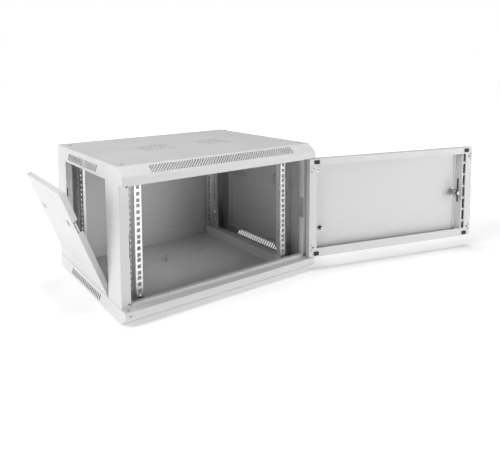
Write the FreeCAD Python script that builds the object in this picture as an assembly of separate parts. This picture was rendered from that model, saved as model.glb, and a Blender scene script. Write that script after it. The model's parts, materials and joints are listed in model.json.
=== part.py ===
import FreeCAD, Part
import math
import os

os.makedirs("parts", exist_ok=True)

# Overall size of the cabinet, millimetres
width = 600.0
depth = 450.0
height = 368.0

# Sheet thicknesses
body_sheet = 1.2
post_sheet = 1.5
panel_sheet = 1.0
rail_sheet = 2.0

# Roof cap and floor tray
cap_height = 40.0
tray_height = 38.0
strip_height = 18.0
bevel_depth = 28.0
bevel_bend = 9.0
skirt_bend = 2.5
door_recess = 23.0
side_lip = 18.0

# Posts and the side openings between them
post_side_front = 77.0
post_side_rear = 64.0
post_strip = 25.0
sill_height = 7.5
sill_drop = 8.0
sill_return = 12.0
sill_gap = 0.3
strip_hole = 5.6
strip_hole_in = 19.8
strip_hole_up = 7.5
post_return = 14.0
post_inner = 18.0
cam_notch = 60.0
cam_notch_bite = 3.0
tab_share = 0.48
tab_length = 45.0
roof_screw_share = 0.58
roof_screw_ahead = 22.0
roof_screw_back = 45.0

# Vents
vent_count = 20
vent_pitch = 10.4
vent_slot = 6.0
vent_height = 19.0
vent_lean = 13.0
vent_above_edge = 9.0
vent_middle = 25.0
bevel_hole = 4.5
bevel_pitch = 7.8
bevel_row = 3.9
bevel_rows = 6
bevel_blank = 78.0
fan_size = 105.0
fan_field = 94.0
fan_offset = 95.0
fan_hole = 4.0
fan_pitch = 6.0
fan_screw_hole = 4.5

# Nineteen inch rails
rack_unit = 44.45
rack_units = 6
rack_columns = 465.1
unit_steps = (6.35, 22.225, 38.1)
square_hole = 9.5
rack_bottom = 46.0
rail_front = 62.0
rail_back = 12.0
rail_in = 9.0
rail_out = 11.0
rail_leg = 38.0
rail_slot_width = 6.0
rail_slot_length = 10.0
rail_bolt_drop = 15.0

# Beams under the rails and over them
beam_height = 28.8
beam_share = 0.375
beam_front = 35.0
beam_rear = 3.0

# Back panel
wall_inset_x = 35.0
wall_inset_z = 30.0
wall_hole = 10.0

# Door
door_side_gap = 5.0
door_thickness = 20.0
door_gap = 2.0
hinge_stile = 24.0
lock_stile_width = 24.0
top_rail = 20.0
bottom_rail = 25.0
hinge_inset = 7.0
door_open = 165.3
bumper_size = (16.0, 11.0)
bumper_gap = 0.3

# Hinge pins
pin_radius = 3.0
running_fit = 0.05
bush_flange = 1.2
pin_in_lip = 5.5
lever_drop = 39.0

# Door lock
lock_inset = 61.0
barrel_radius = 9.4
plug_radius = 6.0
stub_size = 5.0
cam_screw_radius = 1.5
cam_sheet = 2.0
cam_arm = 5.0
cam_eye = 6.0
cam_long = 48.0
cam_short = 28.0
cam_gap = 1.0

# Side panels
panel_gap = 1.0
panel_flange = 14.0
panel_bend = 2.0
panel_lift = 0.1
panel_tilt = 22.3
tongue_inset = 11.0
tongue_width = 24.0
tongue_drop = 9.0
tongue_spots = (-97.5, 97.5)

# Panel latches
latch_tip = 5.0
latch_sheet = 3.0
latch_tall = 20.0
latch_gap = 0.3
latch_back = 52.0
finger_start = 38.0
finger_length = 15.0
finger_tall = 16.0
pad_length = 5.0
latch_share = 0.69
latch_notch = 30.0
guide_wall = 2.0

# Positions worked out from the sizes above
half = width / 2
front = -depth / 2
rear = depth / 2
cap_edge = height - cap_height
roof_inside = height - body_sheet
floor_top = body_sheet
skirt_inside = half - body_sheet
post_face = front + door_recess
post_end = post_face + post_side_front
rear_post_face = rear - body_sheet
rear_post_end = rear_post_face - post_side_rear
opening_middle = (post_end + rear_post_end) / 2
door_low = tray_height + door_gap
door_high = cap_edge - door_gap
door_middle = (door_low + door_high) / 2
door_inside = front + door_thickness
door_half = half - door_side_gap
hinge_x = door_half - hinge_inset
hinge_y = front + door_thickness / 2
panel_axis_x = half - panel_bend
panel_low = tray_height + panel_lift
panel_high = cap_edge - panel_gap
panel_axis_z = panel_low + panel_bend
panel_front = post_end + panel_gap
panel_rear = rear_post_end - panel_gap
latch_level = panel_low + latch_share * (panel_high - panel_low)
column = rack_columns / 2
rail_face = front + rail_front
rail_middle = (rail_face + rear - rail_back) / 2
beam_top = floor_top + beam_height
beam_x = column - rail_in + 0.5
side_room = skirt_inside - beam_x
tab_reach = tab_share * side_room
beam_flange = beam_share * side_room
roof_screw_inset = body_sheet + roof_screw_share * tab_reach
bevel_length = width - 2 * bevel_blank
latch_x = -half + body_sheet + post_sheet + latch_gap


def vec(x, y, z):
    return FreeCAD.Vector(x, y, z)


along_x = vec(1, 0, 0)
along_y = vec(0, 1, 0)
along_z = vec(0, 0, 1)
centre = vec(0, 0, 0)


def box(x0, x1, y0, y1, z0, z1):
    return Part.makeBox(x1 - x0, y1 - y0, z1 - z0, vec(x0, y0, z0))


def rod(radius, start, direction, length):
    return Part.makeCylinder(radius, length, start, direction)


def fuse(shapes):
    whole = shapes[0]
    if len(shapes) > 1:
        whole = shapes[0].fuse(shapes[1:])
    return whole.removeSplitter()


def cut(shape, tools):
    return shape.cut(Part.Compound(tools))


def mirror_x(shape):
    return shape.mirror(centre, along_x)


def mirror_y(shape, level):
    return shape.mirror(vec(0, level, 0), along_y)


def mirror_z(shape, level):
    return shape.mirror(vec(0, 0, level), along_z)


def save(name, shape):
    shape.exportStep("parts/" + name + ".step")


def lift(u, v, plane, level):
    if plane == "XY":
        return vec(u, v, level)
    if plane == "YZ":
        return vec(level, u, v)
    return vec(u, level, v)


# A closed outline with rounded corners, pushed out into a solid
def prism(points, radii, plane, start, length):
    count = len(points)
    edges = []
    last = None
    first = None
    for i in range(count):
        here = lift(points[i][0], points[i][1], plane, start)
        before = lift(points[i - 1][0], points[i - 1][1], plane, start)
        after_point = points[(i + 1) % count]
        after = lift(after_point[0], after_point[1], plane, start)
        entry = here
        leave = here
        if radii[i] > 0:
            a = (before - here).normalize()
            b = (after - here).normalize()
            angle = a.getAngle(b)
            reach = radii[i] / math.tan(angle / 2)
            entry = here + a * reach
            leave = here + b * reach
            bisector = (a + b).normalize()
            middle = here + bisector * (radii[i] / math.sin(angle / 2) - radii[i])
        if last is not None:
            edges.append(Part.LineSegment(last, entry).toShape())
        else:
            first = entry
        if radii[i] > 0:
            edges.append(Part.Arc(entry, middle, leave).toShape())
        last = leave
    edges.append(Part.LineSegment(last, first).toShape())
    face = Part.Face(Part.Wire(edges))
    return face.extrude(lift(0, 0, plane, length))


# The same outline moved inward by a wall thickness, corners going clockwise or not
def inset(points, wall):
    count = len(points)
    area = 0
    for i in range(count):
        p = points[i]
        q = points[(i + 1) % count]
        area += p[0] * q[1] - q[0] * p[1]
    turn = 1 if area > 0 else -1
    lines = []
    for i in range(count):
        p = points[i]
        q = points[(i + 1) % count]
        length = math.hypot(q[0] - p[0], q[1] - p[1])
        du = (q[0] - p[0]) / length
        dv = (q[1] - p[1]) / length
        lines.append((p[0] - dv * turn * wall, p[1] + du * turn * wall, du, dv))
    moved = []
    for i in range(count):
        a = lines[i - 1]
        b = lines[i]
        cross = a[2] * b[3] - a[3] * b[2]
        step = ((b[0] - a[0]) * b[3] - (b[1] - a[1]) * b[2]) / cross
        moved.append((a[0] + a[2] * step, a[1] + a[3] * step))
    return moved


# A strip of sheet bent along a row of points, the sheet lying to the left of the row
def folded(points, wall, bend, plane, start, length):
    count = len(points)
    normals = []
    for i in range(count - 1):
        du = points[i + 1][0] - points[i][0]
        dv = points[i + 1][1] - points[i][1]
        size = math.hypot(du, dv)
        normals.append((-dv / size, du / size))
    outer = []
    inner = []
    outer_radii = []
    inner_radii = []
    for i in range(count):
        outer.append(points[i])
        if i == 0 or i == count - 1:
            n = normals[0] if i == 0 else normals[-1]
            inner.append((points[i][0] + n[0] * wall, points[i][1] + n[1] * wall))
            outer_radii.append(0)
            inner_radii.append(0)
            continue
        n = normals[i - 1]
        m = normals[i]
        scale = wall / (1 + n[0] * m[0] + n[1] * m[1])
        inner.append((points[i][0] + (n[0] + m[0]) * scale, points[i][1] + (n[1] + m[1]) * scale))
        left_turn = n[0] * m[1] - n[1] * m[0] > 0
        outer_radii.append(bend + wall if left_turn else bend)
        inner_radii.append(bend if left_turn else bend + wall)
    loop = outer + inner[::-1]
    radii = outer_radii + inner_radii[::-1]
    return prism(loop, radii, plane, start, length)


def hexagon(flats, start, direction, length):
    points = []
    for i in range(6):
        turn = math.radians(60 * i + 30)
        radius = flats / math.sqrt(3)
        points.append(vec(radius * math.cos(turn), radius * math.sin(turn), 0))
    points.append(points[0])
    solid = Part.Face(Part.makePolygon(points)).extrude(vec(0, 0, length))
    solid.Placement = FreeCAD.Placement(start, FreeCAD.Rotation(along_z, direction))
    return solid


# A coil of round wire with flat-standing ends left open
def coil(radius, wire, start, direction, length, turns):
    pitch = (length - 2 * wire) / turns
    helix = Part.makeHelix(pitch, length - 2 * wire, radius)
    ring = Part.Wire(Part.Circle(vec(radius, 0, 0), along_y, wire).toShape())
    spring = Part.Wire(helix.Edges).makePipeShell([ring], True, True)
    spring.translate(vec(0, 0, wire))
    spring.Placement = FreeCAD.Placement(start, FreeCAD.Rotation(along_z, direction)) * spring.Placement
    return spring


# Half of the body shell lying open side down, front edge bevelled, top at z = tall
def shell_outline(tall):
    rise = tall - strip_height
    return [(front, 0), (front, tall - rise), (front + bevel_depth, tall), (rear, tall), (rear, 0)]


def shell_cavity(tall, extra):
    points = inset(shell_outline(tall), body_sheet)
    points[0] = (points[0][0], -extra)
    points[-1] = (points[-1][0], -extra)
    inner_bend = bevel_bend - body_sheet
    return prism(points, [0, inner_bend, inner_bend, 0, 0], "YZ", -skirt_inside, 2 * skirt_inside)


def shell(tall):
    outside = prism(shell_outline(tall), [0, bevel_bend, bevel_bend, 0, 0], "YZ", -half, width)
    ends = []
    for edge in outside.Edges:
        limits = edge.BoundBox
        at_end = limits.XLength < 0.01
        if at_end and limits.ZMax > 0.1:
            ends.append(edge)
    outside = outside.makeFillet(skirt_bend, ends)
    lip = box(-skirt_inside, skirt_inside, front + body_sheet, post_face, 0, body_sheet)
    left = box(-skirt_inside, -half + side_lip, post_end, rear_post_end, 0, body_sheet)
    return fuse([outside.cut(shell_cavity(tall, 1)), lip, left, mirror_x(left)])


# Slanted slots through both side skirts, tops leaning to the front
def side_vents(low):
    tools = []
    for i in range(vent_count):
        y = vent_middle + (i - (vent_count - 1) / 2) * vent_pitch
        foot = y + vent_lean / 2 - vent_slot / 2
        head = y - vent_lean / 2 - vent_slot / 2
        points = [
            (foot, low),
            (foot + vent_slot, low),
            (head + vent_slot, low + vent_height),
            (head, low + vent_height),
        ]
        tools.append(prism(points, [0, 0, 0, 0], "YZ", -half - 1, width + 2))
    return tools


# Staggered round holes along the sloped front of the cap
def bevel_holes():
    rise = cap_height - strip_height
    slope = math.hypot(bevel_depth, rise)
    normal = vec(0, -rise / slope, bevel_depth / slope)
    tools = []
    for row in range(bevel_rows):
        place = slope / 2 + (row - (bevel_rows - 1) / 2) * bevel_row
        y = front + bevel_depth * place / slope
        z = cap_edge + strip_height + rise * place / slope
        shift = bevel_pitch / 2 if row % 2 else 0
        count = int((bevel_length - shift) / bevel_pitch) + 1
        for i in range(count):
            x = -bevel_length / 2 + shift + i * bevel_pitch
            spot = vec(x, y, z) - normal * 3
            tools.append(rod(bevel_hole / 2, spot, normal, 6))
    return tools


# A square field of staggered holes, with the four screw holes of a standard fan at its corners
def fan_grille(x):
    tools = []
    row_pitch = fan_pitch * math.sqrt(3) / 2
    reach = (fan_field - fan_hole) / 2
    rows = int(reach / row_pitch)
    half_row = int(reach / fan_pitch) + 1
    for row in range(-rows, rows + 1):
        shift = fan_pitch / 2 if row % 2 else 0
        for i in range(-half_row, half_row):
            u = i * fan_pitch + shift
            if abs(u) <= reach:
                tools.append(rod(fan_hole / 2, vec(x + u, row * row_pitch, roof_inside - 1), along_z, 4))
    for u in (-1, 1):
        for v in (-1, 1):
            spot = vec(x + u * fan_size / 2, v * fan_size / 2, roof_inside - 1)
            tools.append(rod(fan_screw_hole / 2, spot, along_z, 4))
    return tools


def corner_spots():
    back = rear_post_face - roof_screw_back
    ahead = post_face + roof_screw_ahead
    return [(side * (half - roof_screw_inset), y) for side in (-1, 1) for y in (ahead, back)]


screw_radius = 3.0
bush_radius = 4.0
bush_rim = 5.2


def hinge_holes(z):
    return [rod(bush_radius, vec(side * hinge_x, hinge_y, z - 3), along_z, 6) for side in (-1, 1)]


def roof_cap():
    cap = shell(cap_height)
    cap.translate(vec(0, 0, cap_edge))
    tools = side_vents(cap_edge + vent_above_edge - 2)
    tools += bevel_holes()
    tools += fan_grille(-fan_offset)
    tools += fan_grille(fan_offset)
    tools += hinge_holes(cap_edge)
    for x, y in corner_spots():
        tools.append(rod(screw_radius + 0.3, vec(x, y, roof_inside - 1), along_z, 4))
    return cut(cap, tools)


cable_width = 260.0
cable_depth = 70.0
cable_back = 46.0
plate_edge = 14.0
stud_x = -26.0
stud_ahead = 19.0
stud_y = rear - cable_back - cable_depth - plate_edge - stud_ahead


def tongue_slots():
    low = tray_height - body_sheet - 1
    outer = half - tongue_inset + 2
    inner = half - tongue_inset - panel_sheet - 2.6
    tools = []
    for spot in tongue_spots:
        y = opening_middle + spot
        reach = tongue_width / 2 + 1.5
        tools.append(box(-outer, -inner, y - reach, y + reach, low, low + 4))
        tools.append(box(inner, outer, y - reach, y + reach, low, low + 4))
    return tools


def cable_spots():
    x = cable_width / 2 + plate_edge / 2
    y0 = rear - cable_back - cable_depth - plate_edge / 2
    y1 = rear - cable_back + plate_edge / 2
    return [(-x, y0), (x, y0), (-x, y1), (x, y1)]


def floor_tray():
    tray = mirror_z(shell(tray_height), tray_height / 2)
    tools = side_vents(vent_above_edge)
    tools += hinge_holes(tray_height)
    tools += tongue_slots()
    tools.append(rod(2.0, vec(-half + 13, front - 1, tray_height - 9), along_y, 4))
    half_cable = cable_width / 2
    cable_end = rear - cable_back
    tools.append(box(-half_cable, half_cable, cable_end - cable_depth, cable_end, -1, 3))
    tools.append(rod(screw_radius + 0.3, vec(stud_x, stud_y, -1), along_z, 4))
    for x, y in corner_spots():
        tools.append(rod(screw_radius + 0.3, vec(x, y, -1), along_z, 4))
    for x, y in cable_spots():
        tools.append(rod(2.3, vec(x, y, -1), along_z, 4))
    return cut(tray, tools)


# Space inside the closed body, used to trim the posts to the sloped fronts
def inside_space():
    upper = shell_cavity(cap_height, height / 2 - cap_height)
    upper.translate(vec(0, 0, cap_edge))
    lower = shell_cavity(tray_height, height / 2 - tray_height)
    lower = mirror_z(lower, tray_height / 2)
    return fuse([upper, lower])


def latch_hole(y):
    outer = latch_x - latch_gap
    inner = latch_x + latch_sheet + 0.8
    tall = latch_tall / 2 + 1.5
    return box(outer, inner, y - 4, y + 4, latch_level - tall, latch_level + tall)


# Two flat tabs join a post to the roof and to the floor
def post_tabs(y):
    tall = floor_top + post_sheet
    low = box(-skirt_inside, -skirt_inside + tab_reach, y - tab_length / 2, y + tab_length / 2, floor_top, tall)
    high = mirror_z(low, height / 2)
    return [low, high]


def post_finish(post, y, end, space, tools):
    post = fuse([post] + post_tabs(y)).common(space)
    tools.append(latch_hole(end))
    for x, spot in corner_spots():
        tools.append(rod(screw_radius + 0.1, vec(x, spot, -1), along_z, height + 2))
    return cut(post, tools)


# Room for the lock cam to pass behind the front strip
def cam_room():
    inner = -skirt_inside + post_strip
    low = door_middle - cam_notch / 2
    high = door_middle + cam_notch / 2
    back = post_face + post_return
    return box(inner - cam_notch_bite, inner + 1, post_face - 1, back + 1, low, high)


# Two small holes near the ends of the front strip
def strip_holes():
    x = -skirt_inside + strip_hole_in
    levels = (tray_height + strip_hole_up, cap_edge - strip_hole_up)
    return [rod(strip_hole / 2, vec(x, post_face - 1, z), along_y, 4) for z in levels]


def front_post_left(space):
    x = -skirt_inside
    points = [
        (x + post_inner, post_end),
        (x, post_end),
        (x, post_face),
        (x + post_strip, post_face),
        (x + post_strip, post_face + post_return),
    ]
    post = folded(points, post_sheet, 1.0, "XY", floor_top, roof_inside - floor_top)
    return post_finish(post, post_face + roof_screw_ahead, post_end, space, [cam_room()] + strip_holes())


# A folded strip behind the lip of the tray joins the two front posts
def front_sill():
    end = skirt_inside - post_strip - sill_gap
    top = tray_height + sill_height
    points = [(post_face + sill_return, top), (post_face, top), (post_face, tray_height - sill_drop)]
    return folded(points, post_sheet, 1.0, "YZ", -end, 2 * end)


def rear_post_left(space):
    x = -skirt_inside
    points = [
        (x + post_strip, rear_post_face - post_return),
        (x + post_strip, rear_post_face),
        (x, rear_post_face),
        (x, rear_post_end),
        (x + post_inner, rear_post_end),
    ]
    post = folded(points, post_sheet, 1.0, "XY", floor_top, roof_inside - floor_top)
    holes = [rod(2.7, vec(px, rear - 9, pz), along_y, 9) for px, pz in panel_screw_spots()]
    return post_finish(post, rear_post_face - roof_screw_back, rear_post_end, space, holes)


panel_screw_rows = (-110.0, 0.0, 110.0)


def panel_screw_spots():
    x = skirt_inside - post_strip / 2
    z = (tray_height + cap_edge) / 2
    return [(side * x, z + step) for side in (-1, 1) for step in panel_screw_rows]


def wall_spots():
    x = half - wall_inset_x
    return [(side * x, z) for side in (-1, 1) for z in (tray_height + wall_inset_z, cap_edge - wall_inset_z)]


def back_panel():
    panel = box(-skirt_inside, skirt_inside, rear_post_face, rear, tray_height + 0.5, cap_edge - 0.5)
    tools = []
    for x, z in wall_spots():
        tools.append(rod(wall_hole / 2, vec(x, rear - 4, z), along_y, 8))
    for x, z in panel_screw_spots():
        tools.append(rod(2.7, vec(x, rear - 4, z), along_y, 8))
    return cut(panel, tools)


def lower_beam_left():
    points = [
        (-beam_x - beam_flange, beam_top),
        (-beam_x, beam_top),
        (-beam_x, floor_top),
        (-beam_x - beam_flange, floor_top),
    ]
    turned = points[::-1]
    start = front + beam_front
    length = rear - body_sheet - beam_rear - start
    beam = folded(turned, post_sheet, 1.0, "XZ", start, length)
    tools = []
    for x, y in rail_feet():
        if x < 0:
            tools.append(rod(screw_radius + 0.2, vec(x, y, beam_top - 5), along_z, 8))
    return cut(beam, tools)


def rail_holes():
    rows = []
    for unit in range(rack_units):
        for step in unit_steps:
            rows.append(rack_bottom + unit * rack_unit + step)
    return rows


rail_low = beam_top + 0.2
rail_high = height - beam_top - 0.2
bolt_low = rack_bottom + unit_steps[0] - rail_bolt_drop
bolt_high = rack_bottom + rack_units * rack_unit - unit_steps[0] + rail_bolt_drop


def front_rail_left():
    outer = -column - rail_out
    inner = -column + rail_in
    points = [(outer, rail_face + rail_leg), (outer, rail_face), (inner, rail_face)]
    rail = folded(points, rail_sheet, 1.0, "XY", rail_low, rail_high - rail_low)
    tools = []
    side = square_hole / 2
    leg = rail_face + rail_leg / 2 + 3
    for z in rail_holes():
        tools.append(box(-column - side, -column + side, rail_face - 1, rail_face + 4, z - side, z + side))
        w = rail_slot_width / 2
        h = rail_slot_length / 2
        points = [(leg - w, z - h), (leg + w, z - h), (leg + w, z + h), (leg - w, z + h)]
        round_end = w - 0.01
        tools.append(prism(points, [round_end] * 4, "YZ", outer - 1, 4))
    for unit in range(1, rack_units):
        z = rack_bottom + unit * rack_unit
        tools.append(box(outer + 3.5, outer + 6.5, rail_face - 1, rail_face + 0.3, z - 0.4, z + 0.4))
    for z in (bolt_low, bolt_high):
        tools.append(rod(screw_radius + 0.2, vec(-column, rail_face - 1, z), along_y, 4))
    return cut(rail, tools)


foot_back = 12.0


def rail_feet():
    y = rail_face + rail_sheet + foot_back
    return [(u * column, v) for u in (-1, 1) for v in (y, 2 * rail_middle - y)]


# One small angle holds each rail end to its beam
def rail_bracket():
    y = rail_face + rail_sheet
    reach = 7.5
    points = [(y, bolt_low + 7), (y, beam_top), (y + 22, beam_top)]
    bracket = folded(points, rail_sheet, 1.0, "YZ", -column - reach, 2 * reach)
    tools = [
        rod(screw_radius + 0.2, vec(-column, y - 1, bolt_low), along_y, 5),
        rod(screw_radius + 0.2, vec(-column, y + foot_back, beam_top - 1), along_z, 5),
    ]
    return cut(bracket, tools)


def four_ways(shape):
    right = mirror_x(shape)
    return [shape, right, mirror_y(shape, rail_middle), mirror_y(right, rail_middle)]


def screw(spot, direction, grip, head_radius, head_height):
    head = rod(head_radius, spot, direction, head_height)
    rim = [edge for edge in head.Edges if edge.Length > 6.2 * head_radius]
    rim = [edge for edge in rim if (edge.CenterOfMass - spot).dot(direction) > head_height / 2]
    head = head.makeFillet(head_height * 0.45, rim)
    drive = hexagon(head_radius * 0.8, spot + direction * head_height * 0.4, direction, head_height)
    shank = rod(screw_radius, spot - direction * grip, direction, grip)
    return fuse([head.cut(drive), shank])


def rail_bolts():
    bolts = []
    for z in (bolt_low, bolt_high):
        bolts.append(screw(vec(-column, rail_face, z), vec(0, -1, 0), 9, 5.2, 2.4))
    foot = vec(-column, rail_face + rail_sheet + foot_back, beam_top + rail_sheet)
    bolts.append(screw(foot, along_z, 9, 5.2, 2.4))
    head = vec(foot.x, foot.y, height - foot.z)
    bolts.append(screw(head, vec(0, 0, -1), 9, 5.2, 2.4))
    group = []
    for bolt in bolts:
        group += four_ways(bolt)
    return Part.Compound(group)


def rail_brackets():
    low = rail_bracket()
    upright = bolt_high + 7
    gap = height - beam_top
    y = rail_face + rail_sheet
    points = [(y + 22, gap), (y, gap), (y, 2 * bolt_high - upright)]
    high = folded(points, rail_sheet, 1.0, "YZ", -column - 7.5, 15)
    tools = [
        rod(screw_radius + 0.2, vec(-column, y - 1, bolt_high), along_y, 5),
        rod(screw_radius + 0.2, vec(-column, y + foot_back, gap - 4), along_z, 5),
    ]
    return Part.Compound(four_ways(low) + four_ways(cut(high, tools)))


def roof_screws():
    spots = corner_spots()
    return Part.Compound([screw(vec(x, y, height), along_z, 10, 5.5, 1.8) for x, y in spots])


def tray_screws():
    level = floor_top + post_sheet
    grip = level - 0.1
    return Part.Compound([screw(vec(x, y, level), along_z, grip, 5.5, 2.4) for x, y in corner_spots()])


def back_screws():
    screws = []
    for x, z in panel_screw_spots():
        head = rod(4.6, vec(x, rear, z), along_y, 1.8)
        drive = hexagon(3.2, vec(x, rear + 0.8, z), along_y, 2)
        shank = rod(2.5, vec(x, rear - 8, z), along_y, 8)
        screws.append(fuse([head.cut(drive), shank]))
    return Part.Compound(screws)


def cable_plate():
    x = cable_width / 2 + plate_edge
    y0 = rear - cable_back - cable_depth - plate_edge
    y1 = rear - cable_back + plate_edge
    plate = box(-x, x, y0, y1, floor_top, floor_top + body_sheet)
    return cut(plate, [rod(2.3, vec(px, py, -1), along_z, 6) for px, py in cable_spots()])


def cable_screws():
    screws = []
    level = floor_top + body_sheet
    for x, y in cable_spots():
        head = rod(3.8, vec(x, y, level), along_z, 2)
        drive = hexagon(2.8, vec(x, y, level + 0.9), along_z, 2)
        shank = rod(2.0, vec(x, y, 0.1), along_z, level - 0.1)
        screws.append(fuse([head.cut(drive), shank]))
    return Part.Compound(screws)


def ground_stud():
    foot = rod(6.0, vec(stud_x, stud_y, floor_top), along_z, 1.5)
    shank = rod(screw_radius, vec(stud_x, stud_y, 0.1), along_z, 22)
    return fuse([foot, shank])


def ground_nut():
    nut = hexagon(10, vec(stud_x, stud_y, floor_top + 3.0), along_z, 5)
    washer = rod(6.4, vec(stud_x, stud_y, floor_top + 1.5), along_z, 1.5)
    bore = rod(screw_radius + running_fit, vec(stud_x, stud_y, 0), along_z, 12)
    return fuse([nut, washer]).cut(bore)


def hinge_bushes():
    bushes = []
    for side in (-1, 1):
        x = side * hinge_x
        low = tray_height
        flange = rod(bush_rim, vec(x, hinge_y, low), along_z, bush_flange)
        neck = rod(bush_radius - running_fit, vec(x, hinge_y, low - 4), along_z, 4)
        bore = rod(pin_radius + running_fit, vec(x, hinge_y, low - 5), along_z, 9)
        bush = fuse([flange, neck]).cut(bore)
        bushes.append(bush)
        bushes.append(mirror_z(bush, (tray_height + cap_edge) / 2))
    return Part.Compound(bushes)


# The door is drawn shut and turned to its open place at the end
def opened(shape):
    shape.rotate(vec(hinge_x, hinge_y, 0), along_z, door_open)
    return shape


lock_x = -door_half + lock_inset
corner_marks = ((6.0, 21.0, 2.3), (12.0, 28.5, 3.3), (6.0, 36.0, 2.3))
bumper_inset = (23.0, 9.5)
door_stud_x = door_half - 46.0
door_stud_z = door_low + 0.276 * (door_high - door_low)


def bumper_places():
    places = []
    for side in (-1, 1):
        for end in (-1, 1):
            x = side * (door_half - bumper_inset[0])
            level = door_high if end > 0 else door_low
            places.append((x, level - end * bumper_inset[1]))
    return places


def door_pan():
    outside = box(-door_half, door_half, front, door_inside, door_low, door_high)
    rim = [edge for edge in outside.Edges if edge.BoundBox.YMax < front + 0.01]
    outside = outside.makeFillet(skirt_bend, rim)
    wall = body_sheet
    hollow = box(
        -door_half + wall, door_half - wall, front + wall, door_inside - wall, door_low + wall, door_high - wall
    )
    window = box(
        -door_half + lock_stile_width,
        door_half - hinge_stile,
        door_inside - 2 * wall,
        door_inside + wall,
        door_low + bottom_rail,
        door_high - top_rail,
    )
    tools = [window, rod(barrel_radius + 0.1, vec(lock_x, front - 1, door_middle), along_y, 4)]
    for side in (-1, 1):
        for u, v, radius in corner_marks:
            x = side * (door_half - u)
            tools.append(rod(radius, vec(x, door_inside - 3, door_high - v), along_y, 5))
            tools.append(rod(radius, vec(x, door_inside - 3, door_low + v), along_y, 5))
    for x, z in bumper_places():
        tools.append(rod(2.6, vec(x, door_inside - 3, z), along_y, 5))
    for z in (door_low, door_high):
        tools.append(rod(pin_radius + running_fit, vec(hinge_x, hinge_y, z - 3), along_z, 6))
    return cut(outside.cut(hollow), tools)


stile_slots = 7
slot_length = 31.5
slot_width = 9.0
slot_pitch = 37.5


def lock_stile():
    x = -door_half
    level = door_inside - body_sheet
    skin = front + body_sheet
    low = door_low + body_sheet + 1
    high = door_high - body_sheet - 1
    raised = [(x + 14, level), (x + 37, level), (x + 46, skin + body_sheet), (x + 53, skin + body_sheet)]
    stile = folded(raised[::-1], body_sheet, 1.0, "XY", low, high - low)
    tools = []
    for i in range(stile_slots):
        z = door_middle + (i - (stile_slots - 1) / 2) * slot_pitch
        a = x + lock_stile_width + 0.5
        tools.append(box(a, a + slot_width, level - 4, level + 4, z - slot_length / 2, z + slot_length / 2))
    tools.append(rod(barrel_radius + 6, vec(lock_x, front, door_middle), along_y, door_thickness + 4))
    for px, pz in bumper_places():
        tools.append(rod(3.0, vec(px, level - 4, pz), along_y, 8))
    return cut(stile, tools)


def door_bumpers():
    bumpers = []
    thick = post_face - door_inside - bumper_gap
    for x, z in bumper_places():
        w = bumper_size[0] / 2
        h = bumper_size[1] / 2
        block = box(x - w, x + w, door_inside, door_inside + thick, z - h, z + h)
        stem = rod(2.5, vec(x, door_inside - 3, z), along_y, 3)
        bumpers.append(fuse([block, stem]))
    return Part.Compound(bumpers)


pin_top = cap_edge + pin_in_lip
lever_level = door_high - lever_drop
seat_level = lever_level + 8.0
collar_level = seat_level + 17.0
guide_level = door_low + 16.0


# A shelf inside the hinge stile that guides a pin, with a leg on the side wall
def hinge_bracket(level, leg_low):
    side = door_half - body_sheet
    shelf = box(hinge_x - 8, side, front + body_sheet + 1, door_inside - body_sheet, level, level + 1.5)
    leg = box(side - 1.5, side, front + body_sheet + 1, door_inside - body_sheet, leg_low, leg_low + 20)
    bore = rod(pin_radius + running_fit, vec(hinge_x, hinge_y, level - 1), along_z, 4)
    return fuse([shelf, leg]).cut(bore)


def upper_hinge_pin():
    pin = rod(pin_radius, vec(hinge_x, hinge_y, lever_level), along_z, pin_top - lever_level)
    tip = [edge for edge in pin.Edges if edge.BoundBox.ZMin > pin_top - 0.01]
    pin = pin.makeFillet(1.2, tip)
    elbow = Part.makeSphere(pin_radius, vec(hinge_x, hinge_y, lever_level))
    lever = rod(pin_radius, vec(hinge_x, hinge_y, lever_level), vec(-1, 0, 0), hinge_stile + 4)
    collar = rod(5.0, vec(hinge_x, hinge_y, collar_level), along_z, 2)
    return fuse([pin, elbow, lever, collar])


def pin_spring():
    start = vec(hinge_x, hinge_y, seat_level + 1.5)
    return coil(4.2, 0.45, start, along_z, collar_level - seat_level - 1.5, 7)


def lower_hinge_pin():
    low = tray_height - pin_in_lip
    pin = rod(pin_radius, vec(hinge_x, hinge_y, low), along_z, door_low + 24 - low)
    tip = [edge for edge in pin.Edges if edge.BoundBox.ZMax < low + 0.01]
    collar = rod(5.0, vec(hinge_x, hinge_y, door_low + body_sheet), along_z, 2)
    return fuse([pin.makeFillet(1.2, tip), collar])


barrel_end = post_face + post_sheet + cam_gap - 0.2


def lock_barrel():
    head = rod(12, vec(lock_x, front - 2.5, door_middle), along_y, 2.5)
    rim = [edge for edge in head.Edges if edge.BoundBox.YMax < front - 2.4]
    body = rod(barrel_radius, vec(lock_x, front, door_middle), along_y, barrel_end - front)
    bore = rod(plug_radius + running_fit, vec(lock_x, front - 4, door_middle), along_y, 60)
    return fuse([head.makeFillet(1.0, rim), body]).cut(bore)


def lock_nut():
    skin = front + body_sheet
    nut = hexagon(24, vec(lock_x, skin, door_middle), along_y, 4)
    return nut.cut(rod(barrel_radius + 0.1, vec(lock_x, skin - 1, door_middle), along_y, 6))


cam_start = barrel_end + 0.2
cam_end = cam_start + cam_sheet


def lock_plug():
    body = rod(plug_radius, vec(lock_x, front - 2.2, door_middle), along_y, barrel_end - front + 2.2)
    h = stub_size / 2
    stub = box(lock_x - h, lock_x + h, barrel_end, cam_end, door_middle - h, door_middle + h)
    keyway = box(lock_x - 0.7, lock_x + 0.7, front - 3, front + 6, door_middle - 4, door_middle + 4)
    hole = rod(cam_screw_radius + running_fit, vec(lock_x, cam_end - 9, door_middle), along_y, 10)
    return fuse([body, stub]).cut(Part.Compound([keyway, hole]))


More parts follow.
